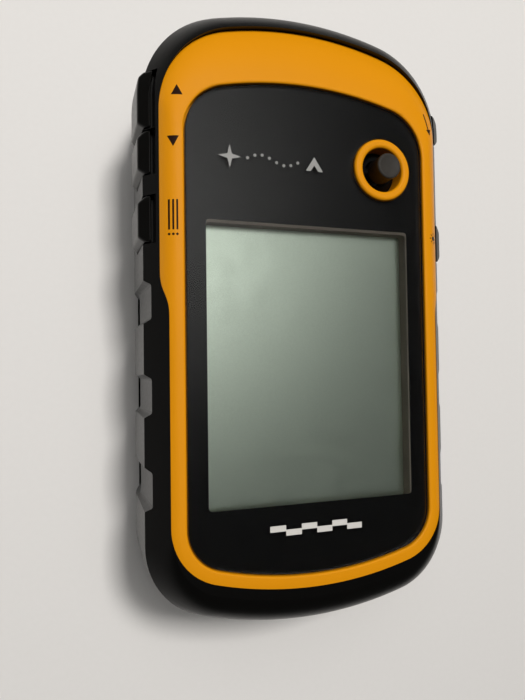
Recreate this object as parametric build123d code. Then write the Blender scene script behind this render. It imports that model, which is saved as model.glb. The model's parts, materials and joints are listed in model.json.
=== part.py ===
from build123d import *
import math
import os
from dataclasses import astuple, dataclass


# A rugged handheld satellite navigator that runs on two AA cells.
# It lies on its back: +Z out of the display, +Y to the antenna end, +X to the stick side.
# The origin is under the middle of the case, at the lowest point of the back.


@dataclass(frozen=True)
class Plan:
    """A case outline seen from the front: bowed ends, round corners, sides that may step at the waist."""
    upper: float            # half width above the waist
    lower: float            # half width below the waist
    top: float
    bottom: float
    top_bow: float          # radius of the long arc across the top end
    top_corner: float
    bottom_bow: float
    bottom_corner: float

    def grown(self, distance):
        """The same outline moved outwards by a distance, or inwards if it is negative."""
        signs = (1, 1, 1, -1, 1, 1, 1, 1)
        return Plan(*(value + sign * distance for value, sign in zip(astuple(self), signs)))

    def toward(self, other, side_share, end_share):
        """An outline part of the way to another one: 0 is this one and 1 is the other."""
        shares = (side_share, side_share) + (end_share,) * 6
        return Plan(*(a + (b - a) * share for a, b, share in zip(astuple(self), astuple(other), shares)))


# ---- driving dimensions, in millimetres -------------------------------------------------

# outlines
wide_plan = Plan(27.0, 27.0, 52.0, -51.8, 60.0, 16.0, 66.0, 12.5)       # the rubber at its widest
bezel_plan = Plan(25.2, 24.0, 47.8, -44.9, 57.0, 15.0, 64.0, 9.4)       # edge of the amber bezel
lens_plan = Plan(21.4, 21.4, 37.7, -42.7, 63.0, 8.0, 61.0, 6.8)         # the black front window
waist_top = 6.0                     # where the bezel's sides begin to step in
waist_bottom = -1.0
lip_width = 0.8                     # flat lip between the lens and the start of the dome
belt_fullness = 0.52                # power that shapes the rubber's ends: 1 is an ellipse, less is squarer
crease_half = 27.4                  # half width at the crease between the rubber's sides and its shoulders
crease_level = 26.4
shoulder_slope = 0.846              # how far a shoulder runs in for each millimetre that it rises
core_inset = 3.4                    # rubber thickness at the widest level
wall = 1.8                          # thickness of the hard side walls
parting_gap = 0.04                  # between the bezel's edge and the rubber round it

# levels, from the back up
back_level = 1.5                    # flat back; the mounting spine stands down from it to zero
cover_split = 4.2                   # the cover below, the rear housing above
taper_level = 14.7                  # the sides are upright from here up to wide_level
seam_level = 19.5                   # rear housing below, bezel skirt above
wide_level = 22.7
flange_level = 26.6                 # under side of the bezel's rim, which sits on the rubber
deck_under = 27.9
deck_top = 29.5
lens_under = 29.7
lens_top = 30.7
lip_top = 30.9
back_round = 6.0                    # how far the back edge curves in

# display
display_y = -8.5
window_x = 0.3                      # the window is a little off the middle
window_half = (18.3, 23.05)
gasket_opening = ((-18.1, 18.35), (-32.2, 14.05))       # its limits along X and Y
window_corner = 0.6
display_top = 27.5
glass_half = (19.7, 24.2)
frame_half = (21.2, 25.9)
frame_bottom = 24.4
backlight_bottom = 24.6
glass_bottom = 26.0
polarizer = 0.15
flex_x = (-9.0, 3.0)                # the two edges of the display's flex

# thumb stick
stick_at = (13.5, 25.1)
ring_outer = 5.4
well_radius = 3.85
ring_top = 31.1
stick_pivot = 25.4
stick_top = 33.2
cap_radius = 2.2
stem_radius = 0.9
press_travel = 0.3

# side keys: name, side, low end and high end
keys = [
    ("zoom_in", -1, 29.1, 38.2),
    ("zoom_out", -1, 21.7, 28.6),
    ("menu", -1, 10.8, 18.1),
    ("back", 1, 32.3, 37.7),
    ("light", 1, 10.2, 17.0),
]
key_middle = 21.6                   # height of the keys' middle
key_low = 17.4
key_shoulder = 26.3                 # the key's side is nearly upright up to here, then slopes in to its top
key_high = 27.9
key_step = 26.3                     # above this level the key is thinner, to clear the bezel's rim
key_proud = (1.0, 1.2, -0.75)       # how far a key stands out at its foot, shoulder and top
key_end_slope = 0.9                 # how far the key's two ends slant in where it stands proud
key_round = 0.5
key_gap = 0.2
key_travel = 0.5
stem_half = (1.5, 0.9)              # half width and half height of a key's stem
plunger_radius = 0.7
plunger_tip = 19.6                  # distance of the plunger's tip from the middle plane

# grip notches in the rubber
notch_places = (1.4, -13.4, -28.0)
notch_half = (2.4, 3.1, 3.8)        # half lengths of a notch: its floor, the middle of its slope, its mouth
notch_depth = 0.65
notch_bottom = 6.0
notch_lean = 1.2                    # how far its floor leans in with the back of the case, down to its foot

# boards
board_bottom = 22.6
board_top = 23.6

# cells and their bay
cell_radius = 7.1
cell_length = 50.5
cell_x = 7.6
cell_z = 10.3
nub_radius = 2.75
nub_length = 1.3
bay_bottom = -29.5
bay_top = 27.5
bay_clearance = 0.3
bay_wall = 1.4
seal_floor = 5.2                    # bottom of the groove that holds the cover's seal
tray_top = 19.0
contact_thickness = 0.4
spring_wire = 0.7

# fasteners
screw_places = [(-14.0, 41.5), (14.0, 41.5), (-17.0, -41.2), (17.0, -41.2)]
screw_seat = 6.4
screw_end = 24.6

# battery cover, its lock and its mounting spine
cover_end = 31.2
cover_skin = 1.4
lock_y = -38.2
collar_radius = 9.6
head_radius = 8.4
head_bottom = 0.1
head_top = 3.3
shank_radius = 1.2
bar_half = (1.7, 5.2)
well_top = 10.0
lock_well_radius = 5.8
ring_wire = 0.8                     # radius of the D-ring's wire
ring_reach = 6.2                    # half width of the D-ring, to the wire's middle
ring_hinge = 3.2                    # the D-ring's hinge line, above the lock's middle
ring_level = 1.5
spine_neck = 5.0                    # half widths of the T-shaped spine
spine_head = 6.5
spine_ends = (-12.0, 30.0)
spine_step = 0.8

# weather cap and USB socket
usb_y = 37.4
flap_half = (8.0, 5.4)
flap_bottom = 1.0
flap_thickness = 1.6
flap_hinge = (usb_y + flap_half[1], flap_bottom + flap_thickness / 2)       # hinge line's Y and Z
plug_height = 0.6
recess_half = (6.2, 4.1)
socket_half = (3.85, 1.95)
socket_mouth = 7.5
socket_end = 16.7


# ---- shapes used more than once ---------------------------------------------------------

def side_edges(plan, high, low, side):
    """The edges of one side, from high to low, with an S-bend at the waist if the widths differ."""
    if plan.upper == plan.lower:
        return [Line((side * plan.upper, high), (side * plan.lower, low))]
    middle = (waist_top + waist_bottom) / 2
    bend = Bezier(
        (side * plan.upper, waist_top),
        (side * plan.upper, middle),
        (side * plan.lower, middle),
        (side * plan.lower, waist_bottom),
    )
    above = Line((side * plan.upper, high), (side * plan.upper, waist_top))
    below = Line((side * plan.lower, waist_bottom), (side * plan.lower, low))
    return [above, bend, below]


def end_edges(half, end, bow, corner, sign):
    """One end of an outline: two corner arcs and the bow between them, and the corner's level."""
    bow_middle = end - sign * bow
    corner_x = half - corner
    corner_y = bow_middle + sign * math.sqrt((bow - corner) ** 2 - corner_x ** 2)
    lean = math.atan2(abs(corner_y - bow_middle), corner_x)
    half_lean = lean / 2
    meet = (bow * math.cos(lean), bow_middle + sign * bow * math.sin(lean))
    shoulder = (corner_x + corner * math.cos(half_lean), corner_y + sign * corner * math.sin(half_lean))
    edges = [ThreePointArc((-meet[0], meet[1]), (0, end), meet)]
    for side in (-1, 1):
        start = (side * half, corner_y)
        edges.append(ThreePointArc(start, (side * shoulder[0], shoulder[1]), (side * meet[0], meet[1])))
    return edges, corner_y


def outline(plan):
    """The closed wire of a plan."""
    top, high = end_edges(plan.upper, plan.top, plan.top_bow, plan.top_corner, 1)
    bottom, low = end_edges(plan.lower, plan.bottom, plan.bottom_bow, plan.bottom_corner, -1)
    sides = side_edges(plan, high, low, -1) + side_edges(plan, high, low, 1)
    return Wire(top + bottom + sides)


def prism(plan, low, high):
    """A plan drawn up between two heights."""
    return extrude(Pos(0, 0, low) * make_face(outline(plan)), high - low)


def block(x, y, z):
    """A box between pairs of limits along X, Y and Z."""
    sizes = [high - low for low, high in (x, y, z)]
    middle = [(high + low) / 2 for low, high in (x, y, z)]
    return Pos(*middle) * Box(*sizes)


def pad(centre, half, corner, low, high):
    """An upright plate with round corners."""
    sketch = RectangleRounded(2 * half[0], 2 * half[1], corner)
    return extrude(Pos(centre[0], centre[1], low) * sketch, high - low)


def post(at, radius, low, high):
    """An upright cylinder."""
    return Pos(at[0], at[1], (low + high) / 2) * Cylinder(radius, high - low)


def rod_x(ends, y, z, radius):
    """A cylinder along X."""
    return Pos((ends[0] + ends[1]) / 2, y, z) * Rot(0, 90, 0) * Cylinder(radius, ends[1] - ends[0])


def rod_y(x, ends, z, radius):
    """A cylinder along Y."""
    return Pos(x, (ends[0] + ends[1]) / 2, z) * Rot(90, 0, 0) * Cylinder(radius, ends[1] - ends[0])


def turned(at, profile):
    """A body of revolution about an upright line, from (radius, height) points."""
    section = make_face(Polyline(*[(r, 0, z) for r, z in profile], close=True))
    return Pos(at[0], at[1], 0) * revolve(section, Axis.Z)


def window(grow, low, high):
    """The display window grown by a margin."""
    half = (window_half[0] + grow, window_half[1] + grow)
    return pad((window_x, display_y), half, window_corner + max(grow, 0), low, high)


# ---- the case's outer form --------------------------------------------------------------

lip_plan = lens_plan.grown(lip_width)
back_plan = wide_plan.grown(-back_round)
core_plan = wide_plan.grown(-core_inset)
cavity_plan = core_plan.grown(-wall)


def dome():
    """The front of the hard case: a quarter ellipse from the lens lip out to the widest level."""
    wires = []
    for angle in (90, 82, 74, 66, 58, 50, 40, 30, 20, 10, 0):
        out = max(math.cos(math.radians(angle)), 0)
        level = wide_level + (lip_top - wide_level) * math.sin(math.radians(angle))
        wires.append(Pos(0, 0, level) * outline(lip_plan.toward(wide_plan, out, out)))
    return Solid.make_loft(wires)


def belt_section(level):
    """The rubber's outline at a level: straight sides up to the crease, then a straight shoulder."""
    rise = max(level - wide_level, 0) / (lip_top - wide_level)
    end_share = math.sqrt(1 - rise ** 2) ** belt_fullness
    draft = (crease_half - wide_plan.upper) / (crease_level - taper_level)
    half = wide_plan.upper + draft * (level - taper_level)
    if level > crease_level:
        half = crease_half - shoulder_slope * (level - crease_level)
    side_share = (half - lip_plan.upper) / (wide_plan.upper - lip_plan.upper)
    return lip_plan.toward(wide_plan, side_share, end_share)


def belt_layer(levels):
    """A slice of the rubber's outer form, smooth through its outlines at some levels."""
    return Solid.make_loft([Pos(0, 0, level) * outline(belt_section(level)) for level in levels])


def hull():
    """The back of the case, a quarter ellipse from the upright sides in to the flat back."""
    wires = []
    for angle in (0, 12, 24, 36, 48, 60, 70, 80, 90):
        out = math.cos(math.radians(angle))
        drop = math.sin(math.radians(angle))
        level = taper_level - (taper_level - back_level) * drop
        wires.append(Pos(0, 0, level) * outline(back_plan.toward(wide_plan, out, out)))
    return Solid.make_loft(wires)


bezel_form = dome()
back_form = hull()


# ---- front of the unit ------------------------------------------------------------------

def key_stem_hole(key, clearance):
    """Where a key's stem passes through the hard wall."""
    name, side, low, high = key
    x = sorted((side * (core_plan.upper + 3), side * (cavity_plan.upper - 2)))
    middle = (low + high) / 2
    y = (middle - stem_half[0] - clearance, middle + stem_half[0] + clearance)
    z = (key_middle - stem_half[1] - clearance, key_middle + stem_half[1] + clearance)
    return block(x, y, z)


def front_bezel():
    """The amber front moulding: domed rim, deck behind the lens, skirt, and the stick's ring."""
    shell = bezel_form & prism(bezel_plan, flange_level, lip_top + 1)
    shell += prism(core_plan, seam_level, flange_level)
    shell -= prism(cavity_plan, seam_level - 1, deck_under)
    shell -= prism(lens_plan.grown(0.2), deck_top, lip_top + 1)
    shell -= window(1.0, deck_under - 1, deck_top + 1)
    lip = [e for e in shell.edges() if abs(e.center().Z - lip_top) < 0.01]
    inner = [e for e in lip if e.bounding_box().max.Z - e.bounding_box().min.Z < 0.01]
    inner_limit = lens_plan.grown(0.5)
    inner = [e for e in inner if abs(e.center().X) < inner_limit.upper and e.center().Y < inner_limit.top]
    inner = [e for e in inner if e.center().Y > inner_limit.bottom]
    shell = fillet(inner, 0.35)
    ring = post(stick_at, ring_outer, deck_under, ring_top) - post(stick_at, well_radius, 0, 40)
    crown = [e for e in ring.edges() if abs(e.center().Z - ring_top) < 0.01]
    ring = fillet(crown, 0.55)
    shell = shell - post(stick_at, well_radius, 20, 40) + ring
    for place in screw_places:
        shell += post(place, 2.3, seam_level, deck_under)
        shell -= post(place, 1.0, seam_level - 1, screw_end)
    for key in keys:
        shell -= key_stem_hole(key, 0.15)
    return shell


def display_lens():
    """The clear front window, with a round hole for the stick's ring."""
    plate = prism(lens_plan, lens_under, lens_top) - post(stick_at, ring_outer + 0.15, 20, 40)
    rim = [e for e in plate.edges() if abs(e.center().Z - lens_top) < 0.001]
    return chamfer(rim, 0.15)


def lens_mask():
    """The black print on the back of the lens, which leaves the display window clear."""
    film = prism(lens_plan, deck_top + 0.1, lens_under - 0.02)
    return film - window(0, 20, 40) - post(stick_at, ring_outer + 0.15, 20, 40)


def lens_adhesive():
    """The adhesive sheet that holds the lens on the deck."""
    sheet = prism(lens_plan.grown(-0.3), deck_top, deck_top + 0.1)
    return sheet - window(1.2, 20, 40) - post(stick_at, ring_outer + 0.5, 20, 40)


def display_gasket():
    """The foam rim between the display and the lens; its top and right edges show in the window."""
    centre = [(low + high) / 2 for low, high in gasket_opening]
    half = [(high - low) / 2 for low, high in gasket_opening]
    return window(0.9, display_top, deck_top + 0.1) - pad(centre, half, window_corner, 20, 40)


def display_parts():
    """The display's own pieces, from the polarizer back to the frame."""
    centre = (0, display_y)
    inside = (glass_half[0] + 0.05, glass_half[1] + 0.05)
    frame = pad(centre, frame_half, 1.5, frame_bottom, deck_under) - pad(centre, inside, 0.5, 20, 40)
    slot = (flex_x[0] - 0.5, flex_x[1] + 0.5)
    frame -= block(slot, (display_y - frame_half[1] - 1, display_y - 20), (26.1, 26.6))
    glass_end = display_y - glass_half[1]
    glass = pad(centre, glass_half, 0.5, glass_bottom, display_top - polarizer)
    backlight = pad(centre, glass_half, 0.5, backlight_bottom, glass_bottom)
    film = pad(centre, (19.3, 23.8), 0.5, display_top - polarizer, display_top)
    flex_line = Polyline(
        (glass_end, 26.4),
        (glass_end - 3.0, 26.4),
        (glass_end - 3.0, 24.3),
        (glass_end - 6.0, 24.3),
        (glass_end - 6.0, 24.15),
        (glass_end - 2.85, 24.15),
        (glass_end - 2.85, 26.25),
        (glass_end, 26.25),
        close=True,
    )
    flex = extrude(Plane.YZ.offset(flex_x[0]) * make_face(flex_line), flex_x[1] - flex_x[0])
    return {
        "display_frame": frame,
        "display_glass": glass,
        "display_backlight": backlight,
        "display_polarizer": film,
        "display_flex": flex,
    }


# ---- thumb stick ------------------------------------------------------------------------

def stick_parts():
    """A thumb stick on a two-axis gimbal: it tilts about X and Y and presses straight down."""
    x, y = stick_at
    case = block((x - 4.5, x + 4.5), (y - 4.5, y + 4.5), (board_top, 27.2))
    case -= block((x - 3.7, x + 3.7), (y - 3.7, y + 3.7), (24.2, 26.6))
    case -= post(stick_at, 2.6, 26, 28)
    case -= rod_x((x - 4.3, x + 4.3), y, stick_pivot, 0.45)
    gimbal = post(stick_at, 3.3, stick_pivot - 0.6, stick_pivot + 0.6)
    gimbal += rod_x((x - 4.1, x + 4.1), y, stick_pivot, 0.4)
    gimbal -= post(stick_at, 2.2, 20, 30)
    gimbal -= rod_y(x, (y - 2.9, y + 2.9), stick_pivot, 0.42)
    rocker = post(stick_at, 1.9, stick_pivot - 0.6, stick_pivot + 0.6)
    rocker += rod_y(x, (y - 2.75, y + 2.75), stick_pivot, 0.36)
    rocker -= post(stick_at, stem_radius + 0.05, 20, 30)
    stem = post(stick_at, stem_radius, stick_pivot - 0.7, 31.4)
    cap = post(stick_at, cap_radius, 29.6, stick_top)
    rim = [e for e in cap.edges() if abs(e.center().Z - stick_top) < 0.01]
    cap = fillet(rim, 0.35)
    cap -= Pos(x, y, stick_top + 7.8) * Sphere(8)
    cap -= post(stick_at, stem_radius, 29, 31.4)
    boot = turned(stick_at, [
        (2.6, 27.3), (4.7, 27.3), (4.7, 27.85), (3.75, 27.85),
        (2.85, 28.7), (2.35, 28.7), (3.0, 27.85), (2.6, 27.85),
    ])
    return {
        "five_way_switch": case,
        "stick_gimbal": gimbal,
        "stick_rocker": rocker,
        "stick_stem": stem,
        "stick_cap": cap,
        "stick_boot": boot,
    }


# ---- side keys --------------------------------------------------------------------------

def ring_slice(outer, inner, side, y, z):
    """Part of the rubber's side wall, between two outlines and within limits."""
    ring = prism(wide_plan.grown(outer), z[0], z[1]) - prism(wide_plan.grown(inner), z[0] - 1, z[1] + 1)
    x = sorted((0, side * 40))
    return ring & block(x, y, z)


def side_key(key):
    """A rubber key cap that follows the side of the case, with sloping ends and a stem."""
    name, side, low, high = key
    levels = zip((key_low, key_shoulder, key_high), key_proud)
    form = Solid.make_loft([Pos(0, 0, z) * outline(wide_plan.grown(out)) for z, out in levels], ruled=True)
    root_x = side * (wide_plan.upper - 3)
    slope_x = side * (wide_plan.upper + 0.2)
    edge_x = side * (wide_plan.upper + key_proud[1])
    ends = [
        (root_x, low), (slope_x, low), (edge_x, low + key_end_slope),
        (edge_x, high - key_end_slope), (slope_x, high), (root_x, high),
    ]
    cap = form & extrude(Pos(0, 0, key_low) * make_face(Polyline(*ends, close=True)), key_high - key_low)
    cap -= prism(wide_plan.grown(-1.6), key_low - 1, key_step)
    cap -= prism(wide_plan.grown(-0.75), key_step, key_high + 1)
    edges = []
    for edge in cap.edges():
        box = edge.bounding_box()
        near = min(abs(box.min.X), abs(box.max.X))
        if near > wide_plan.upper:
            edges.append(edge)
    cap = fillet(edges, key_round)
    middle = (low + high) / 2
    x = sorted((side * (wide_plan.upper - 1.4), side * plunger_tip))
    y = (middle - stem_half[0], middle + stem_half[0])
    return cap + block(x, y, (key_middle - stem_half[1], key_middle + stem_half[1]))


def key_pocket(key):
    """The space that a key moves in, cut in the rubber."""
    name, side, low, high = key
    y = (low - key_gap, high + key_gap)
    lower = ring_slice(4, -2.2, side, y, (key_low - key_gap, key_step + 0.1))
    return lower + ring_slice(4, -1.35, side, y, (key_step + 0.1, lip_top + 1))


def plunger(key):
    """The moving pin of a side switch."""
    name, side, low, high = key
    ends = sorted((side * (plunger_tip - 1.1), side * plunger_tip))
    return rod_x(ends, (low + high) / 2, key_middle, plunger_radius)


def side_switch(key):
    """A right-angle tactile switch under the edge of the board."""
    name, side, low, high = key
    middle = (low + high) / 2
    x = sorted((side * 16.0, side * 19.0))
    body = block(x, (middle - 2.1, middle + 2.1), (key_middle - 1.0, board_bottom))
    ends = sorted((side * (plunger_tip - 1.7), side * 20))
    return body - rod_x(ends, middle, key_middle, plunger_radius + 0.06)


# ---- rubber belt ------------------------------------------------------------------------

def grip_notch(middle, side):
    """A shallow scoop in the side for a finger: a flat floor with S-shaped ends."""
    floor = side * (wide_plan.lower - notch_depth)
    face = side * (crease_half + 0.1)
    outside = side * (crease_half + 2)
    inner, halfway, outer = notch_half
    ends = []
    for way in (-1, 1):
        ends.append(Bezier(
            (face, middle + way * outer),
            (face, middle + way * halfway),
            (floor, middle + way * halfway),
            (floor, middle + way * inner),
        ))
    edges = ends + [
        Line((floor, middle - inner), (floor, middle + inner)),
        Line((face, middle - outer), (outside, middle - outer)),
        Line((outside, middle - outer), (outside, middle + outer)),
        Line((outside, middle + outer), (face, middle + outer)),
    ]
    mouth = Wire(edges)
    foot = Pos(-side * notch_lean, 0, notch_bottom) * mouth
    upper = extrude(Pos(0, 0, taper_level) * make_face(mouth), lip_top + 1 - taper_level)
    return upper + Solid.make_loft([foot, Pos(0, 0, taper_level) * mouth], ruled=True)


def rubber_belt():
    """The rubber moulded round the sides, with grip notches and pockets for the keys."""
    middle = (wide_level + crease_level) / 2
    belt = back_form + belt_layer((taper_level, (taper_level + wide_level) / 2, wide_level))
    belt += belt_layer((wide_level, middle, crease_level))
    belt += belt_layer((crease_level, 27.6, 28.7, 29.6, 30.3, 30.8))
    belt -= block((-40, 40), (-60, 60), (0, cover_split + 0.15))
    belt -= prism(core_plan, 0, flange_level)
    belt -= prism(bezel_plan.grown(parting_gap), flange_level, lip_top + 1)
    for middle in notch_places:
        for side in (-1, 1):
            belt -= grip_notch(middle, side)
    for key in keys:
        belt -= key_pocket(key)
        belt -= key_stem_hole(key, 0.15)
    return belt


# ---- boards and what is on them ---------------------------------------------------------

def main_board():
    """The main circuit board, with holes for the screw bosses and the housing's posts."""
    board = prism(cavity_plan.grown(-0.8), board_bottom, board_top)
    for place in screw_places:
        board -= post(place, 2.7, 20, 30)
    return board


def board_chips():
    """Processor, memory, radio and power chips, as separate solids."""
    below = [(-5.5, -14, 5.5, 5.5), (7.5, -15, 4.0, 3.0), (-6, 3, 3.0, 3.0), (2.5, 7, 2.0, 2.5), (9, 4, 2.5, 2.0)]
    above = [(-13, 33, 1.2, 1.6), (-15, 24, 2.0, 3.0), (-6, 24, 2.5, 2.5), (1, 24, 1.5, 2.0)]
    chips = [block((x - a, x + a), (y - b, y + b), (board_bottom - 1.1, board_bottom)) for x, y, a, b in below]
    chips += [block((x - a, x + a), (y - b, y + b), (board_top, board_top + 1.0)) for x, y, a, b in above]
    return Compound(chips)


def shield_can():
    """A folded metal can over the receiver, on the back of the board."""
    can = pad((2, 19.5), (9.5, 6.0), 0.6, board_bottom - 2.0, board_bottom)
    return can - pad((2, 19.5), (9.3, 5.8), 0.4, board_bottom - 1.8, board_bottom + 1)


def gps_antenna():
    """The ceramic patch antenna, with its feed pin through the board."""
    patch = pad((-2, 38), (7.5, 7.5), 0.5, board_top, board_top + 3.5)
    electrode = pad((-2, 38), (6.4, 6.4), 0.3, board_top + 3.5, board_top + 3.55)
    return patch + electrode


def backup_cell():
    """A small coin cell that keeps the clock going."""
    return post((-7, -39.5), 3.4, board_bottom - 1.9, board_bottom)


def beeper():
    """The piezo sounder on the front of the board, below the display."""
    middle = (9.4, -40.4)
    return post(middle, 4.0, board_top, board_top + 2.2) - post(middle, 0.8, board_top + 1.0, board_top + 3)


def flex_connector():
    """The socket that the display's flex goes into."""
    back = display_y - glass_half[1] - 6.8
    shell = block((flex_x[0] - 0.7, flex_x[1] + 0.7), (back, back + 2.8), (board_top, board_top + 1.2))
    return shell - block((flex_x[0] - 0.1, flex_x[1] + 0.1), (back + 0.7, back + 4), (24.1, 24.35))


# ---- rear housing -----------------------------------------------------------------------

def bay(grow):
    """The space for the two cells: round above their middles, one straight-sided well below."""
    radius = cell_radius + bay_clearance + grow
    y = (bay_bottom - grow, bay_top + grow)
    well = block((-cell_x - radius, cell_x + radius), y, (cover_split - 1, cell_z))
    return well + rod_y(-cell_x, y, cell_z, radius) + rod_y(cell_x, y, cell_z, radius)


def bay_ring(span, low, high):
    """A ring round the battery bay, between two distances from its edge."""
    radius = cell_x + cell_radius + bay_clearance
    centre = (0, (bay_top + bay_bottom) / 2)
    length = (bay_top - bay_bottom) / 2
    inner, outer = [pad(centre, (radius + d, length + d), 1.0 + d, low, high) for d in span]
    return outer - inner


def screw_hole(place):
    """A clearance hole with a counterbore for the head."""
    return post(place, 1.15, 0, 30) + post(place, 2.1, 0, screw_seat)


def rear_housing():
    """The hard rear moulding: side walls, battery bay, lock well, socket recess and screw posts."""
    shell = prism(core_plan, cover_split, seam_level)
    shell -= prism(cavity_plan, cover_split + 1.6, seam_level + 1)
    crown = back_form & block((-40, 40), (cover_end + 0.25, 60), (0, cover_split))
    shell += crown
    shell += bay(bay_wall) & block((-40, 40), (-60, 60), (cover_split, tray_top))
    shell += post((0, lock_y), lock_well_radius + 1.4, cover_split, well_top + 1.2)
    recess = (recess_half[0] + 1.4, recess_half[1] + 1.4)
    shell += pad((0, usb_y), recess, 1.5, cover_split, socket_mouth + 1.4)
    for place in screw_places:
        shell += post(place, 2.7, cover_split, seam_level)
    for place in ((-12, -35.5), (12, -35.5), (-19, 8), (19, 5), (-12.5, 31.5), (12.5, 31.5)):
        shell += post(place, 1.2, cover_split + 1, board_bottom) & prism(cavity_plan.grown(0.5), 0, 30)
    shell -= bay(0)
    shell -= bay_ring((bay_wall - 0.9, bay_wall + 0.1), cover_split - 1, seal_floor)
    shell -= post((0, lock_y), lock_well_radius, cover_split + 1.6, well_top)
    shell -= post((0, lock_y), 2.6, 0, well_top)
    shell -= block((-1.9, 1.9), (lock_y - 5.5, lock_y + 5.5), (0, well_top - 2))
    flap = (flap_half[0] + 0.2, flap_half[1] + 0.2)
    shell -= pad((0, usb_y), flap, 1.0, 0, flap_bottom + flap_thickness + 0.1)
    shell -= rod_x((-flap[0], flap[0]), flap_hinge[0], flap_hinge[1], flap_thickness / 2 + 0.12)
    shell -= block((-flap[0], flap[0]), (usb_y, flap_hinge[0] + flap_thickness / 2 + 0.12), (0, flap_hinge[1]))
    shell -= pad((0, usb_y), recess_half, 0.8, 0, socket_mouth)
    shell -= pad((0, usb_y), (socket_half[0] + 0.1, socket_half[1] + 0.1), 0.4, 0, socket_end)
    for place in screw_places:
        shell -= screw_hole(place)
    for x in (-cell_x, cell_x):
        shell -= block((x - 0.9, x + 0.9), (bay_top - 0.5, bay_top + 0.1), (10, 24))
    groove = prism(core_plan.grown(-0.5), seam_level - 0.5, 30) - prism(core_plan.grown(-1.2), 0, 31)
    shell -= groove
    return shell


def housing_gasket():
    """The seal between the rear housing and the bezel."""
    return prism(core_plan.grown(-0.55), seam_level - 0.5, seam_level) - prism(core_plan.grown(-1.15), 0, 31)


def housing_screws():
    """Four pan-head screws with cross recesses."""
    screws = []
    for x, y in screw_places:
        screw = post((x, y), 1.9, screw_seat - 1.4, screw_seat)
        rim = [e for e in screw.edges() if abs(e.center().Z - screw_seat + 1.4) < 0.01]
        screw = fillet(rim, 0.45)
        screw += post((x, y), 1.0, screw_seat, screw_end - 0.4)
        screw -= block((x - 1.1, x + 1.1), (y - 0.2, y + 0.2), (0, screw_seat - 0.7))
        screw -= block((x - 0.2, x + 0.2), (y - 1.1, y + 1.1), (0, screw_seat - 0.7))
        screws.append(screw)
    return Compound([s.solid() for s in screws])


# ---- power ------------------------------------------------------------------------------

def aa_cell(x, positive_end):
    """One AA cell; positive_end is 1 if its nub faces the top of the unit."""
    tip = bay_top - contact_thickness if positive_end > 0 else bay_bottom + contact_thickness
    shoulder = tip - positive_end * nub_length
    foot = tip - positive_end * cell_length
    cell = rod_y(x, sorted((shoulder, foot)), cell_z, cell_radius)
    cell = fillet(cell.edges(), 0.6)
    return cell + rod_y(x, sorted((tip, shoulder - positive_end * 0.5)), cell_z, nub_radius)


def battery_contacts():
    """Two plates at the top of the bay, each with a tab that reaches the board."""
    plates = []
    for x in (-cell_x, cell_x):
        plate = block((x - 5.2, x + 5.2), (bay_top - contact_thickness, bay_top), (5.5, 14.5))
        tab = block((x - 0.6, x + 0.6), (bay_top - contact_thickness, bay_top), (14, board_bottom))
        plates.append((plate + tab).solid())
    return Compound(plates)


def battery_bridge():
    """The plate across the bottom of the bay that joins the two cells."""
    y = (bay_bottom, bay_bottom + contact_thickness)
    plate = rod_y(-cell_x, y, cell_z, 6.4) + rod_y(cell_x, y, cell_z, 6.4)
    return plate + block((-cell_x, cell_x), y, (6.8, 9.8))


def coil_spring(x, seat, direction):
    """A cone-shaped contact spring from its seat towards the cell."""
    length = bay_top - bay_bottom - 2 * contact_thickness - cell_length - spring_wire
    turns = 4
    start = seat + direction * (spring_wire / 2 + 0.02)
    path = Helix(
        pitch=length / turns,
        height=length - 0.1,
        radius=4.6,
        center=(x, start, cell_z),
        direction=(0, direction, 0),
        cone_angle=-18,
    )
    section = Plane(origin=path @ 0, z_dir=path % 0) * Circle(spring_wire / 2)
    return sweep(section, path=path)


def battery_springs():
    """The negative contact springs, one at each end of the bay."""
    bottom = coil_spring(-cell_x, bay_bottom + contact_thickness, 1)
    top = coil_spring(cell_x, bay_top - contact_thickness, -1)
    return Compound([bottom.solid(), top.solid()])


# ---- USB socket and weather cap ---------------------------------------------------------

def usb_parts():
    """The data socket, the small board it stands on, and the flex to the main board."""
    socket = pad((0, usb_y), socket_half, 0.5, socket_mouth, socket_end)
    socket -= pad((0, usb_y), (socket_half[0] - 0.4, socket_half[1] - 0.4), 0.3, 0, socket_end - 1.5)
    socket += block((-2.6, 2.6), (usb_y - 0.35, usb_y + 0.35), (socket_mouth + 0.8, socket_end - 1))
    board = pad((0, usb_y), (9.0, 5.0), 0.8, socket_end, socket_end + 0.8)
    flex = block((-4, 4), (usb_y - 3.0, usb_y - 2.85), (socket_end + 0.8, board_bottom))
    return {"usb_socket": socket, "usb_board": board, "usb_flex": flex}


def weather_cap():
    """The rubber flap over the socket, with its plug and a finger lip."""
    top = flap_bottom + flap_thickness
    flap = pad((0, usb_y), flap_half, 0.9, flap_bottom, top)
    rim = [e for e in flap.edges() if abs(e.center().Z - flap_bottom) < 0.01]
    flap = fillet(rim, 0.4)
    flap += rod_x((0.4 - flap_half[0], flap_half[0] - 0.4), flap_hinge[0], flap_hinge[1], flap_thickness / 2)
    flap += pad((0, usb_y), (recess_half[0] - 0.4, recess_half[1] - 0.4), 0.5, top, top + plug_height)
    lip_y = usb_y - flap_half[1] + 1.4
    for step in range(3):
        flap += rod_x((-4, 4), lip_y + 0.9 * step, flap_bottom, 0.25)
    return flap


# ---- battery cover and its lock ---------------------------------------------------------

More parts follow.
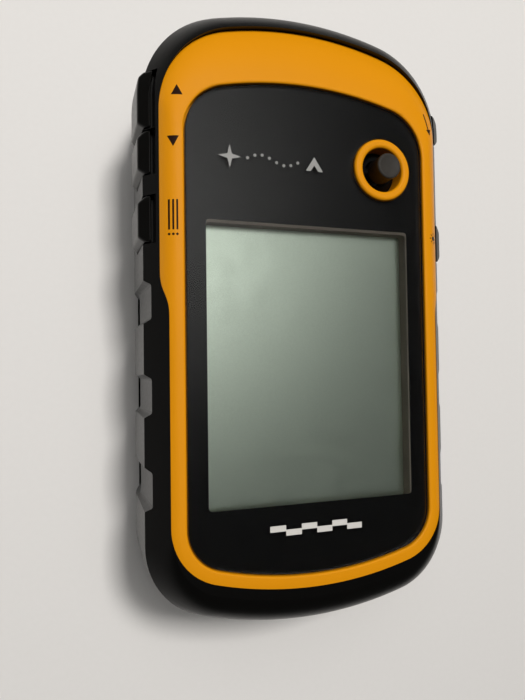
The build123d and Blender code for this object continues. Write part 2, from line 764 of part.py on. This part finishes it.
def battery_cover():
    """The cover over the cells: a dished plate with a mounting spine and the lock's collar."""
    cover = back_form & block((-40, 40), (-60, cover_end), (0, cover_split))
    inside = core_plan.grown(-0.9)
    hollow = prism(inside, back_level + cover_skin, cover_split + 1)
    hollow &= block((-40, 40), (-60, cover_end - 1.4), (0, 10))
    cover -= hollow
    low, high = spine_ends
    cover += block((-spine_neck, spine_neck), (low, high), (spine_step, back_level))
    head = pad((0, (low + high) / 2), (spine_head, (high - low) / 2), 1.2, 0, spine_step)
    head_rim = [e for e in head.edges() if abs(e.center().Z) < 0.01]
    cover += fillet(head_rim, 0.3)
    collar = post((0, lock_y), collar_radius, 0, cover_split)
    collar_rim = [e for e in collar.edges() if abs(e.center().Z) < 0.01]
    cover += fillet(collar_rim, 0.5)
    cover += bay_ring((bay_wall - 0.7, bay_wall - 0.1), back_level + cover_skin, cover_split)
    cover -= post((0, lock_y), head_radius + 0.08, -1, head_top + 0.05)
    cover -= post((0, lock_y), shank_radius + 0.08, -1, 10)
    return cover


def cover_gasket():
    """The seal round the battery bay, in a groove of the rear housing."""
    return bay_ring((bay_wall - 0.85, bay_wall + 0.05), cover_split + 0.05, seal_floor)


def lock_barrel():
    """The quarter-turn barrel: a round head with the D-ring's pocket, lugs and a shank."""
    middle = (0, lock_y)
    head = post(middle, head_radius, head_bottom, head_top)
    pocket = post(middle, 7.95, -1, ring_level + 0.95)
    pocket &= block((-10, 10), (lock_y - 10, lock_y + ring_hinge + 1.3), (-2, 5))
    head -= pocket
    for side in (-1, 1):
        x = sorted((side * 1.4, side * 4.4))
        y = (lock_y + ring_hinge - 1.4, lock_y + ring_hinge + 1.5)
        lug = block(x, y, (head_bottom, head_top - 0.5))
        head += lug
    head -= rod_x((-5.4, 5.4), lock_y + ring_hinge, ring_level, ring_wire + 0.06)
    return head + post(middle, shank_radius, head_top, 7.8)


def lock_bar():
    """The cross bar that turns under the housing's ledges."""
    bar = block((-bar_half[0], bar_half[0]), (lock_y - bar_half[1], lock_y + bar_half[1]), (6.1, 7.6))
    return bar - post((0, lock_y), shank_radius, 5, 9)


def lock_oring():
    """The O-ring on the shank, just inside the cover."""
    return Pos(0, lock_y, cover_split + 0.45) * Torus(shank_radius + 0.38, 0.36)


def lock_clip():
    """The spring clip that holds the bar on the shank."""
    return post((0, lock_y), 2.3, 7.6, 8.0) - post((0, lock_y), shank_radius, 7, 9)


def d_ring():
    """The lanyard ring, a D of round wire folded flat in the barrel's head."""
    bend = 1.5
    top = lock_y + ring_hinge
    turn = top - bend
    round_middle = lock_y - 0.4
    cut = bend * (1 - math.sqrt(0.5))
    path = Wire([
        Line((-ring_reach + bend, top), (ring_reach - bend, top)),
        ThreePointArc((ring_reach - bend, top), (ring_reach - cut, top - cut), (ring_reach, turn)),
        Line((ring_reach, turn), (ring_reach, round_middle)),
        ThreePointArc((ring_reach, round_middle), (0, round_middle - ring_reach), (-ring_reach, round_middle)),
        Line((-ring_reach, round_middle), (-ring_reach, turn)),
        ThreePointArc((-ring_reach, turn), (-ring_reach + cut, top - cut), (-ring_reach + bend, top)),
    ])
    section = Plane(origin=(0, top, 0), z_dir=(1, 0, 0)) * Circle(ring_wire)
    return Pos(0, 0, ring_level) * sweep(section, path=path)


# ---- write every node -------------------------------------------------------------------

def all_parts():
    """Every node of the unit, by name."""
    parts = {
        "front_bezel": front_bezel(),
        "display_lens": display_lens(),
        "lens_mask": lens_mask(),
        "lens_adhesive": lens_adhesive(),
        "display_gasket": display_gasket(),
        "rubber_belt": rubber_belt(),
        "main_board": main_board(),
        "board_chips": board_chips(),
        "shield_can": shield_can(),
        "gps_antenna": gps_antenna(),
        "backup_cell": backup_cell(),
        "beeper": beeper(),
        "flex_connector": flex_connector(),
        "side_switches": Compound([side_switch(key).solid() for key in keys]),
        "rear_housing": rear_housing(),
        "housing_gasket": housing_gasket(),
        "housing_screws": housing_screws(),
        "battery_left": aa_cell(-cell_x, 1),
        "battery_right": aa_cell(cell_x, -1),
        "battery_contacts": battery_contacts(),
        "battery_bridge": battery_bridge(),
        "battery_springs": battery_springs(),
        "weather_cap": weather_cap(),
        "battery_cover": battery_cover(),
        "cover_gasket": cover_gasket(),
        "lock_barrel": lock_barrel(),
        "lock_bar": lock_bar(),
        "lock_oring": lock_oring(),
        "lock_clip": lock_clip(),
        "d_ring": d_ring(),
    }
    parts.update(display_parts())
    parts.update(stick_parts())
    parts.update(usb_parts())
    for key in keys:
        parts[key[0] + "_key"] = side_key(key)
        parts[key[0] + "_plunger"] = plunger(key)
    return parts


os.makedirs("parts", exist_ok=True)
for node, shape in all_parts().items():
    export_step(shape, "parts/" + node + ".step")
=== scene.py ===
import json
import math

import bmesh
import bpy
from mathutils import Matrix, Vector
from mathutils.bvhtree import BVHTree


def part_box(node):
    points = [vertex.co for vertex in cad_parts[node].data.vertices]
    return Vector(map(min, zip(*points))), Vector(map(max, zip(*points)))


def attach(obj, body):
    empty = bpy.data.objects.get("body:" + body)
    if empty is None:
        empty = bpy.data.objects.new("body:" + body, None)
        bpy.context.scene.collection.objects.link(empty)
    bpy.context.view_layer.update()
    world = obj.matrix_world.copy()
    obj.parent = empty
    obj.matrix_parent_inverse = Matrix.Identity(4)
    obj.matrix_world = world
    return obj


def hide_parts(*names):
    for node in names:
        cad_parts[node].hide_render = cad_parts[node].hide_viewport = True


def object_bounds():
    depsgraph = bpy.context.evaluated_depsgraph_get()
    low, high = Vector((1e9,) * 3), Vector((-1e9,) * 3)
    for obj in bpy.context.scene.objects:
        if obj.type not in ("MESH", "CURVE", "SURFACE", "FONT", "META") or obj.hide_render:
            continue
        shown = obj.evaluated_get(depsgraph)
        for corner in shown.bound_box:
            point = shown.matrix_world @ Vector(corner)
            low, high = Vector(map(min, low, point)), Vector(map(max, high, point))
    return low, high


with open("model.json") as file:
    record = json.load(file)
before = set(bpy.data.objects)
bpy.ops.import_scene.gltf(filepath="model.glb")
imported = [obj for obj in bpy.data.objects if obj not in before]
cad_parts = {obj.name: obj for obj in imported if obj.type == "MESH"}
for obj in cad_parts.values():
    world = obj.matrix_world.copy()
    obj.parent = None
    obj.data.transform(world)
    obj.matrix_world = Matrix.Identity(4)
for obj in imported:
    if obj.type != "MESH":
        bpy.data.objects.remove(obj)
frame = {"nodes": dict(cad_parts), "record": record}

# Looks for a rugged handheld navigator that lies on its back. Everything is in metres.
MM = 0.001
cad_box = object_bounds()


# ---- camera, light and floor ------------------------------------------------------------

def aim(obj, place, forward, up):
    """Puts an object at a place with its -Z along forward and its +Y towards up."""
    forward = Vector(forward).normalized()
    right = forward.cross(Vector(up)).normalized()
    above = right.cross(forward)
    turn = Matrix((right, above, -forward)).transposed().to_4x4()
    obj.matrix_world = Matrix.Translation(place) @ turn


def make_camera():
    """The camera above the left of the unit, looking down to the right."""
    focal_length = 30.86
    film_width = 36.0
    lens = bpy.data.cameras.new("camera")
    lens.lens = focal_length
    lens.sensor_width = film_width
    lens.clip_start = 0.005
    camera = bpy.data.objects.new("camera", lens)
    bpy.context.scene.collection.objects.link(camera)
    place = Vector((-40.9, -9.42, 121.63)) * MM
    aim(camera, place, forward=(0.32997, 0.03227, -0.94344), up=(0.00205, 0.99939, 0.0349))
    bpy.context.scene.camera = camera


def make_light(name, place, size, power, colour):
    """A square light that faces the unit, and shows in no reflection and through no glass."""
    data = bpy.data.lights.new(name, "AREA")
    data.size = size
    data.energy = power
    data.color = colour
    light = bpy.data.objects.new(name, data)
    light.visible_glossy = False
    light.visible_transmission = False
    bpy.context.scene.collection.objects.link(light)
    aim(light, Vector(place), -Vector(place), (0, 1, 0.01))


def make_world():
    """A dim room with one soft bright patch overhead, towards the antenna end."""
    patch_middle = (0.05, 0.28, 0.95)
    patch_edge, patch_core = 0.84, 0.985        # cosines of the angles from its middle
    falloff = 3.3
    room_level, patch_level = 0.05, 1.75
    world = bpy.data.worlds.new("studio")
    bpy.context.scene.world = world
    world.use_nodes = True
    nodes, links = world.node_tree.nodes, world.node_tree.links
    direction = nodes.new("ShaderNodeTexCoord").outputs["Generated"]
    dot = nodes.new("ShaderNodeVectorMath")
    dot.operation = "DOT_PRODUCT"
    dot.inputs[1].default_value = Vector(patch_middle).normalized()
    links.new(direction, dot.inputs[0])
    spread = nodes.new("ShaderNodeMapRange")
    spread.inputs["From Min"].default_value = patch_edge
    spread.inputs["From Max"].default_value = patch_core
    links.new(dot.outputs["Value"], spread.inputs["Value"])
    curve = nodes.new("ShaderNodeMath")
    curve.operation = "POWER"
    curve.inputs[1].default_value = falloff
    links.new(spread.outputs["Result"], curve.inputs[0])
    level = nodes.new("ShaderNodeMapRange")
    level.inputs["To Min"].default_value = room_level
    level.inputs["To Max"].default_value = patch_level
    links.new(curve.outputs["Value"], level.inputs["Value"])
    background = nodes["Background"]
    background.inputs["Color"].default_value = (1.0, 0.985, 0.96, 1)
    links.new(level.outputs["Result"], background.inputs["Strength"])


def make_studio():
    """The world, a small key light nearly overhead, a soft fill, and a pale floor."""
    bpy.context.scene.view_settings.view_transform = "Standard"
    make_world()
    make_light("key", (0.025, 0.22, 0.64), 0.12, 3.5, (1.0, 0.97, 0.94))
    make_light("fill", (-0.22, 0.36, 0.74), 0.5, 1.3, (1.0, 0.985, 0.97))
    bpy.ops.mesh.primitive_plane_add(size=4.0, location=(0, 0, cad_box[0].z))
    floor = bpy.context.object
    floor.name = "floor"
    paint = Paint("floor", (0.71, 0.70, 0.685), roughness=0.6)
    paint.speckle(900, 0.03)
    paint.bump([(1200, 0.3)], 0.00002)
    floor.data.materials.append(paint.material)


# ---- materials --------------------------------------------------------------------------

class Paint:
    """One procedural material; every pattern is placed in the unit's own frame."""

    def __init__(self, name, colour, roughness, metallic=0.0, **sockets):
        self.material = bpy.data.materials.new(name)
        self.material.use_nodes = True
        self.nodes = self.material.node_tree.nodes
        self.links = self.material.node_tree.links
        self.shader = self.nodes["Principled BSDF"]
        self.colour = (*colour, 1.0)
        self.roughness = roughness
        self.shader.inputs["Base Color"].default_value = self.colour
        self.shader.inputs["Roughness"].default_value = roughness
        self.shader.inputs["Metallic"].default_value = metallic
        for socket, value in sockets.items():
            self.shader.inputs[socket.replace("_", " ")].default_value = value
        self.place = self.nodes.new("ShaderNodeTexCoord").outputs["Object"]

    def axis(self, letter):
        """One coordinate of the place, in metres."""
        node = self.nodes.new("ShaderNodeSeparateXYZ")
        self.links.new(self.place, node.inputs["Vector"])
        return node.outputs[letter]

    def noise(self, scale, detail=2.0, stretch=(1, 1, 1)):
        """A noise pattern with features about 1/scale metres across."""
        place = self.place
        if stretch != (1, 1, 1):
            mapping = self.nodes.new("ShaderNodeMapping")
            mapping.inputs["Scale"].default_value = stretch
            self.links.new(place, mapping.inputs["Vector"])
            place = mapping.outputs["Vector"]
        node = self.nodes.new("ShaderNodeTexNoise")
        node.inputs["Scale"].default_value = scale
        node.inputs["Detail"].default_value = detail
        self.links.new(place, node.inputs["Vector"])
        return node.outputs["Fac"]

    def ramp(self, value, low, high, dark, light):
        """Maps a value between two limits to a range of numbers."""
        node = self.nodes.new("ShaderNodeMapRange")
        self.links.new(value, node.inputs["Value"])
        node.inputs["From Min"].default_value = low
        node.inputs["From Max"].default_value = high
        node.inputs["To Min"].default_value = dark
        node.inputs["To Max"].default_value = light
        return node.outputs["Result"]

    def times(self, first, second):
        """The product of two sockets."""
        node = self.nodes.new("ShaderNodeMath")
        node.operation = "MULTIPLY"
        self.links.new(first, node.inputs[0])
        self.links.new(second, node.inputs[1])
        return node.outputs["Value"]

    def mix(self, factor, first, second):
        """A colour mix; first and second are colours or sockets."""
        node = self.nodes.new("ShaderNodeMix")
        node.data_type = "RGBA"
        self.feed(factor, node.inputs[0])
        self.feed(first, node.inputs[6])
        self.feed(second, node.inputs[7])
        return node.outputs[2]

    def feed(self, value, socket):
        """Connects a socket to a socket, or sets a plain value."""
        if isinstance(value, bpy.types.NodeSocket):
            self.links.new(value, socket)
        else:
            socket.default_value = value

    def tint(self, factor, colour):
        """Lays another colour over the present one by a factor."""
        base = self.shader.inputs["Base Color"]
        under = base.links[0].from_socket if base.links else self.colour
        self.links.new(self.mix(factor, under, (*colour, 1.0)), base)

    def speckle(self, scale, amount, stretch=(1, 1, 1)):
        """Makes the colour a little lighter and darker in patches."""
        pattern = self.noise(scale, 3.0, stretch)
        shade = self.ramp(pattern, 0.3, 0.7, 0.0, amount)
        self.tint(shade, tuple(c * 0.55 for c in self.colour[:3]))

    def polish(self, scale, low, high, stretch=(1, 1, 1)):
        """Varies the roughness between two values."""
        pattern = self.noise(scale, 3.0, stretch)
        self.links.new(self.ramp(pattern, 0.3, 0.7, low, high), self.shader.inputs["Roughness"])

    def bump(self, layers, depth, stretch=(1, 1, 1)):
        """Fine relief from noise layers of (scale, strength)."""
        normal = None
        for scale, strength in layers:
            node = self.nodes.new("ShaderNodeBump")
            node.inputs["Strength"].default_value = strength
            node.inputs["Distance"].default_value = depth
            self.links.new(self.noise(scale, 2.0, stretch), node.inputs["Height"])
            if normal:
                self.links.new(normal, node.inputs["Normal"])
            normal = node.outputs["Normal"]
        self.links.new(normal, self.shader.inputs["Normal"])


def plastic(name, colour, roughness, grain=5200, depth=0.00002, **sockets):
    """Moulded plastic with a fine grain; depth is the height of its relief."""
    paint = Paint(name, colour, roughness, **sockets)
    paint.speckle(140, 0.10)
    paint.polish(420, roughness - 0.05, roughness + 0.07)
    paint.bump([(grain, 0.35), (grain / 6, 0.15)], depth)
    return paint.material


def rubber(name, colour, roughness=0.5, shine=0.22):
    """Moulded rubber with a very fine pebble; shine is its specular level."""
    paint = Paint(name, colour, roughness, Specular_IOR_Level=shine)
    paint.speckle(260, 0.3)
    paint.polish(1400, roughness - 0.02, roughness + 0.03)
    paint.bump([(4200, 0.25)], 0.00001)
    return paint.material


def metal(name, colour, roughness, stretch=(1, 1, 1), grain=2500):
    """Plated or turned metal with fine tool marks."""
    paint = Paint(name, colour, roughness, metallic=1.0)
    paint.polish(900, roughness - 0.08, roughness + 0.1, stretch)
    paint.bump([(grain, 0.3)], 0.00001, stretch)
    return paint.material


def amber_shell():
    """The bezel's satin amber plastic, with a fine grain."""
    paint = Paint("amber_shell", (0.66, 0.255, 0.002), 0.44, Specular_IOR_Level=0.4)
    paint.speckle(90, 0.05)
    paint.polish(500, 0.41, 0.48)
    paint.bump([(4800, 0.3), (700, 0.12)], 0.000018)
    return paint.material


def clear_window():
    """The polished front window, with faint smears."""
    paint = Paint("clear_lens", (0.97, 0.98, 0.98), 0.02, Transmission_Weight=1.0, IOR=1.22)
    paint.polish(60, 0.015, 0.05)
    paint.bump([(45, 0.05)], 0.00001)
    return paint.material


def ink(name, colour, roughness, metallic=0.0):
    """A smooth screen print, a little uneven in colour and gloss."""
    paint = Paint(name, colour, roughness, metallic, Specular_IOR_Level=0.3)
    paint.speckle(300, 0.15)
    paint.polish(300, roughness - 0.03, roughness + 0.03)
    return paint.material


def stick_plastic():
    """The stick's cap: black, with a painted highlight that makes its dished top paler."""
    paint = Paint("stick_plastic", (0.008, 0.0075, 0.007), 0.5)
    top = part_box("stick_cap")[1].z
    # painted highlight: the cap is tinted paler towards its highest part, over its top half millimetre
    painted_top_highlight = paint.ramp(paint.axis("Z"), top - 0.5 * MM, top - 0.25 * MM, 0.0, 1.0)
    paint.tint(painted_top_highlight, (0.034, 0.031, 0.027))
    paint.speckle(900, 0.2)
    paint.bump([(4200, 0.3)], 0.00001)
    return paint.material


def display_film():
    """The display's front film: grey-green, finely grained and silvery."""
    paint = Paint("display_film", (0.81, 0.93, 0.79), 0.34, metallic=0.88)
    grain = paint.ramp(paint.noise(7000, 1.0), 0.3, 0.7, 0.0, 0.4)
    paint.tint(grain, (0.60, 0.70, 0.58))
    paint.polish(300, 0.32, 0.38)
    paint.bump([(7000, 0.35)], 0.00002)
    return paint.material


def circuit_board(name):
    """Green solder mask with lighter tracks."""
    paint = Paint(name, (0.015, 0.12, 0.045), 0.35)
    tracks = paint.ramp(paint.noise(700, 0.0, (1, 0.25, 1)), 0.52, 0.54, 0.0, 0.5)
    paint.tint(tracks, (0.03, 0.2, 0.08))
    paint.bump([(700, 0.2)], 0.00003)
    return paint.material


def cell_sleeve():
    """A printed cell sleeve: bright steel at both ends, dark between, with two thin stripes."""
    paint = Paint("cell_sleeve", (0.62, 0.62, 0.60), 0.3, metallic=0.6)
    low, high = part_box("battery_left")
    along = paint.axis("Y")
    margin = 2.4 * MM
    start = paint.ramp(along, low.y + margin, low.y + margin + 0.05 * MM, 0.0, 1.0)
    stop = paint.ramp(along, high.y - margin - 0.05 * MM, high.y - margin, 1.0, 0.0)
    paint.tint(paint.times(start, stop), (0.02, 0.03, 0.06))
    for share in (0.22, 0.78):
        middle = low.y + (high.y - low.y) * share
        rise = paint.ramp(along, middle - 0.6 * MM, middle - 0.55 * MM, 0.0, 1.0)
        fall = paint.ramp(along, middle + 0.55 * MM, middle + 0.6 * MM, 1.0, 0.0)
        paint.tint(paint.times(rise, fall), (0.55, 0.33, 0.10))
    paint.polish(500, 0.24, 0.36)
    paint.bump([(2600, 0.15)], 0.00001)
    return paint.material


def patch_ceramic():
    """Sintered ceramic with a silver electrode on its top face."""
    paint = Paint("ceramic", (0.5, 0.4, 0.28), 0.55)
    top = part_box("gps_antenna")[1].z
    silver = paint.ramp(paint.axis("Z"), top - 0.04 * MM, top - 0.03 * MM, 0.0, 1.0)
    paint.speckle(900, 0.2)
    paint.tint(silver, (0.72, 0.71, 0.68))
    paint.bump([(2500, 0.3)], 0.00002)
    return paint.material


def make_materials():
    """One material for each of the record's slots, and the print colours."""
    return {
        "amber_shell": amber_shell(),
        "clear_lens": clear_window(),
        "black_print": ink("black_print", (0.0022, 0.0020, 0.0019), 0.45),
        "silver_print": ink("silver_print", (0.30, 0.30, 0.29), 0.4),
        "white_print": ink("white_print", (0.58, 0.57, 0.54), 0.45),
        "icon_print": ink("icon_print", (0.016, 0.005, 0.002), 0.5),
        "adhesive": plastic("adhesive", (0.02, 0.02, 0.02), 0.6),
        "grey_foam": rubber("grey_foam", (0.50, 0.43, 0.36), 0.8),
        "display_film": display_film(),
        "display_glass": plastic("display_glass", (0.35, 0.4, 0.37), 0.15),
        "light_guide": plastic("light_guide", (0.85, 0.85, 0.82), 0.3),
        "display_frame": plastic("display_frame", (0.5, 0.5, 0.48), 0.5),
        "flex": plastic("flex", (0.45, 0.18, 0.03), 0.4),
        "belt_rubber": rubber("belt_rubber", (0.0024, 0.0023, 0.0021), 0.32, shine=0.18),
        "key_rubber": rubber("key_rubber", (0.0030, 0.0029, 0.0026), 0.30),
        "boot_rubber": rubber("boot_rubber", (0.002, 0.002, 0.002), 0.7),
        "cap_rubber": rubber("cap_rubber", (0.010, 0.010, 0.010)),
        "seal_rubber": rubber("seal_rubber", (0.03, 0.03, 0.032)),
        "board": circuit_board("board"),
        "chip_black": plastic("chip_black", (0.015, 0.015, 0.016), 0.5),
        "tin_plate": metal("tin_plate", (0.6, 0.6, 0.58), 0.35),
        "ceramic": patch_ceramic(),
        "cell_steel": metal("cell_steel", (0.65, 0.65, 0.63), 0.25),
        "connector_plastic": plastic("connector_plastic", (0.7, 0.66, 0.55), 0.45),
        "switch_body": plastic("switch_body", (0.012, 0.012, 0.013), 0.45),
        "plunger_plastic": plastic("plunger_plastic", (0.6, 0.57, 0.48), 0.4),
        "black_shell": plastic("black_shell", (0.011, 0.011, 0.011), 0.5, grain=4200, depth=0.00003),
        "cover_shell": plastic("cover_shell", (0.011, 0.011, 0.011), 0.5, grain=4200, depth=0.00003),
        "screw_steel": metal("screw_steel", (0.5, 0.5, 0.5), 0.35),
        "cell_sleeve": cell_sleeve(),
        "contact_nickel": metal("contact_nickel", (0.7, 0.68, 0.62), 0.3),
        "stick_metal": metal("stick_metal", (0.05, 0.05, 0.05), 0.5),
        "stick_plastic": stick_plastic(),
        "socket_steel": metal("socket_steel", (0.6, 0.6, 0.6), 0.3),
        "lock_metal": plastic("lock_metal", (0.02, 0.02, 0.02), 0.45),
        "lock_steel": metal("lock_steel", (0.5, 0.5, 0.5), 0.35),
        "ring_steel": metal("ring_steel", (0.55, 0.55, 0.55), 0.25),
    }


def paint_nodes(materials):
    """Gives each CAD node the material of its slot."""
    slots = {part["node"]: part["material_slot"] for part in frame["record"]["subparts"]}
    for name, node in frame["nodes"].items():
        node.data.materials.clear()
        node.data.materials.append(materials[slots[name]])


# ---- soft moulded keys ------------------------------------------------------------------

def soften(name, body, material, grid=0.16 * MM, passes=14, inset=0.01 * MM):
    """A moulded rubber piece with its outer edges rounded off, which stands for its CAD node."""
    source = frame["nodes"][name]
    sharp = source.data.copy()
    piece = bpy.data.objects.new(name + "_soft", sharp)
    bpy.context.scene.collection.objects.link(piece)
    piece.matrix_world = source.matrix_world
    rebuild = piece.modifiers.new("rebuild", "REMESH")
    rebuild.mode = "VOXEL"
    rebuild.voxel_size = grid
    round_off = piece.modifiers.new("round_off", "SMOOTH")
    round_off.factor = 0.5
    round_off.iterations = passes
    depsgraph = bpy.context.evaluated_depsgraph_get()
    mesh = bpy.data.meshes.new_from_object(piece.evaluated_get(depsgraph))
    # inner corners stay sharp: nothing may stand out of the CAD shape, or it would catch in its pocket
    tree = BVHTree.FromObject(source, depsgraph)
    for vertex in mesh.vertices:
        nearest, normal = tree.find_nearest(vertex.co)[:2]
        if (vertex.co - nearest).dot(normal) > -inset:
            vertex.co = nearest - normal * inset
    piece.modifiers.clear()
    piece.data = mesh
    bpy.data.meshes.remove(sharp)
    mesh.materials.clear()
    mesh.materials.append(material)
    mesh.shade_smooth()
    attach(piece, body)
    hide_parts(name)


def soft_keys(materials):
    """The five side keys, as soft rubber."""
    for body in ("zoom_in", "zoom_out", "menu", "back", "light"):
        soften(body + "_key", body, materials["key_rubber"])


# ---- printed marks ----------------------------------------------------------------------

def circle(x, y, radius, corners=20):
    """A round outline."""
    angles = [2 * math.pi * step / corners for step in range(corners)]
    return [(x + radius * math.cos(a), y + radius * math.sin(a)) for a in angles]


def rectangle(left, right, low, high):
    """An upright rectangle between four limits."""
    return [(left, low), (right, low), (right, high), (left, high)]


def bar(start, end, width):
    """A straight bar from one point to another."""
    (x1, y1), (x2, y2) = start, end
    length = math.hypot(x2 - x1, y2 - y1)
    side_x = -(y2 - y1) / length * width / 2
    side_y = (x2 - x1) / length * width / 2
    near = [(x1 + side_x, y1 + side_y), (x1 - side_x, y1 - side_y)]
    far = [(x2 - side_x, y2 - side_y), (x2 + side_x, y2 + side_y)]
    return near + far


def print_mark(name, outlines, under, material):
    """Thin print of closed outlines in mm, on the front of a CAD node."""
    tree = BVHTree.FromObject(frame["nodes"][under], bpy.context.evaluated_depsgraph_get())
    form = bmesh.new()
    for outline in outlines:
        form.faces.new([form.verts.new((x * MM, y * MM, 0)) for x, y in outline])
    same_place = 0.001 * MM             # corners that outlines share become one
    bmesh.ops.remove_doubles(form, verts=form.verts[:], dist=same_place)
    bmesh.ops.triangulate(form, faces=form.faces[:])
    bmesh.ops.subdivide_edges(form, edges=form.edges[:], cuts=5, use_grid_fill=True)
    bmesh.ops.triangulate(form, faces=form.faces[:])
    sink, thickness = 0.015 * MM, 0.035 * MM
    for vertex in form.verts:
        top = tree.ray_cast(Vector((vertex.co.x, vertex.co.y, 0.05)), Vector((0, 0, -1)))[0].z
        vertex.co.z = top - sink
    raised = bmesh.ops.extrude_face_region(form, geom=form.faces[:], use_keep_orig=True)["geom"]
    for item in raised:
        if isinstance(item, bmesh.types.BMVert):
            item.co.z += thickness
    bmesh.ops.recalc_face_normals(form, faces=form.faces[:])
    mesh = bpy.data.meshes.new(name)
    form.to_mesh(mesh)
    form.free()
    mesh.materials.append(material)
    piece = bpy.data.objects.new(name, mesh)
    bpy.context.scene.collection.objects.link(piece)
    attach(piece, "root")


def key_marks(materials):
    """The icons on the bezel beside the side keys."""
    bezel = "front_bezel"
    brown = materials["icon_print"]
    line = 0.28
    up_triangle = [(-23.5, 33.5), (-21.75, 33.5), (-22.6, 35.2)]
    down_triangle = [(-24.15, 26.95), (-23.3, 25.25), (-22.4, 26.95)]
    print_mark("zoom_in_mark", [up_triangle], bezel, brown)
    print_mark("zoom_out_mark", [down_triangle], bezel, brown)
    rows = []
    for x in (-23.95, -23.35, -22.75):
        rows.append(circle(x, 11.6, 0.2, 12))
        rows.append(bar((x, 12.3), (x, 17.0), line))
    print_mark("menu_mark", rows, bezel, brown)
    arrow_head = [(23.62, 32.5), (24.0, 33.7), (22.75, 33.35)]
    arrow = [bar((22.45, 36.3), (23.35, 33.4), line), arrow_head]
    print_mark("back_mark", arrow, bezel, brown)
    sun_x, sun_y = 23.9, 13.7
    ray_start, ray_end, ray_width = 0.62, 1.0, 0.16
    sun = [circle(sun_x, sun_y, 0.42)]
    for step in range(8):
        angle = math.pi / 4 * step
        x, y = math.cos(angle), math.sin(angle)
        start = (sun_x + ray_start * x, sun_y + ray_start * y)
        end = (sun_x + ray_end * x, sun_y + ray_end * y)
        sun.append(bar(start, end, ray_width))
    print_mark("light_mark", sun, bezel, brown)


def star(x, y, long, short):
    """A four-pointed compass star."""
    points = []
    for step in range(8):
        angle = math.pi / 4 * step + math.pi / 2
        reach = long if step % 2 == 0 else short
        points.append((x + reach * math.cos(angle), y + reach * math.sin(angle)))
    return points


def lens_marks(materials):
    """Plain graphics printed on the lens: a compass star and trail, and a map scale."""
    row = 24.7
    dots, first_dot, dot_spacing, dot_radius = 8, -11.2, 1.25, 0.26
    sway, sway_step = 0.7, 0.9
    peak = [(-1.0, 23.6), (0.55, 26.0), (2.1, 23.6), (1.25, 23.6), (0.55, 24.6), (-0.15, 23.6)]
    trail = [star(-14.2, row, 1.9, 0.55)]
    for step in range(dots):
        y = row + sway * math.sin(step * sway_step)
        trail.append(circle(first_dot + dot_spacing * step, y, dot_radius, 14))
    trail.append(peak)
    print_mark("trail_mark", trail, "display_lens", materials["silver_print"])
    left, right, middle = -8.2, 8.2, -35.4
    count, block_height, line_height = 6, 0.85, 0.12
    scale = []
    for step in range(count):
        start, stop = [left + (right - left) * place / count for place in (step, step + 1)]
        scale.append(rectangle(start, stop, middle - line_height, middle + line_height))
        if step % 2 == 0:
            scale.append(rectangle(start, stop, middle + line_height, middle + block_height))
        else:
            scale.append(rectangle(start, stop, middle - block_height, middle - line_height))
    print_mark("scale_mark", scale, "display_lens", materials["white_print"])


make_camera()
make_studio()
materials = make_materials()
paint_nodes(materials)
soft_keys(materials)
key_marks(materials)
lens_marks(materials)
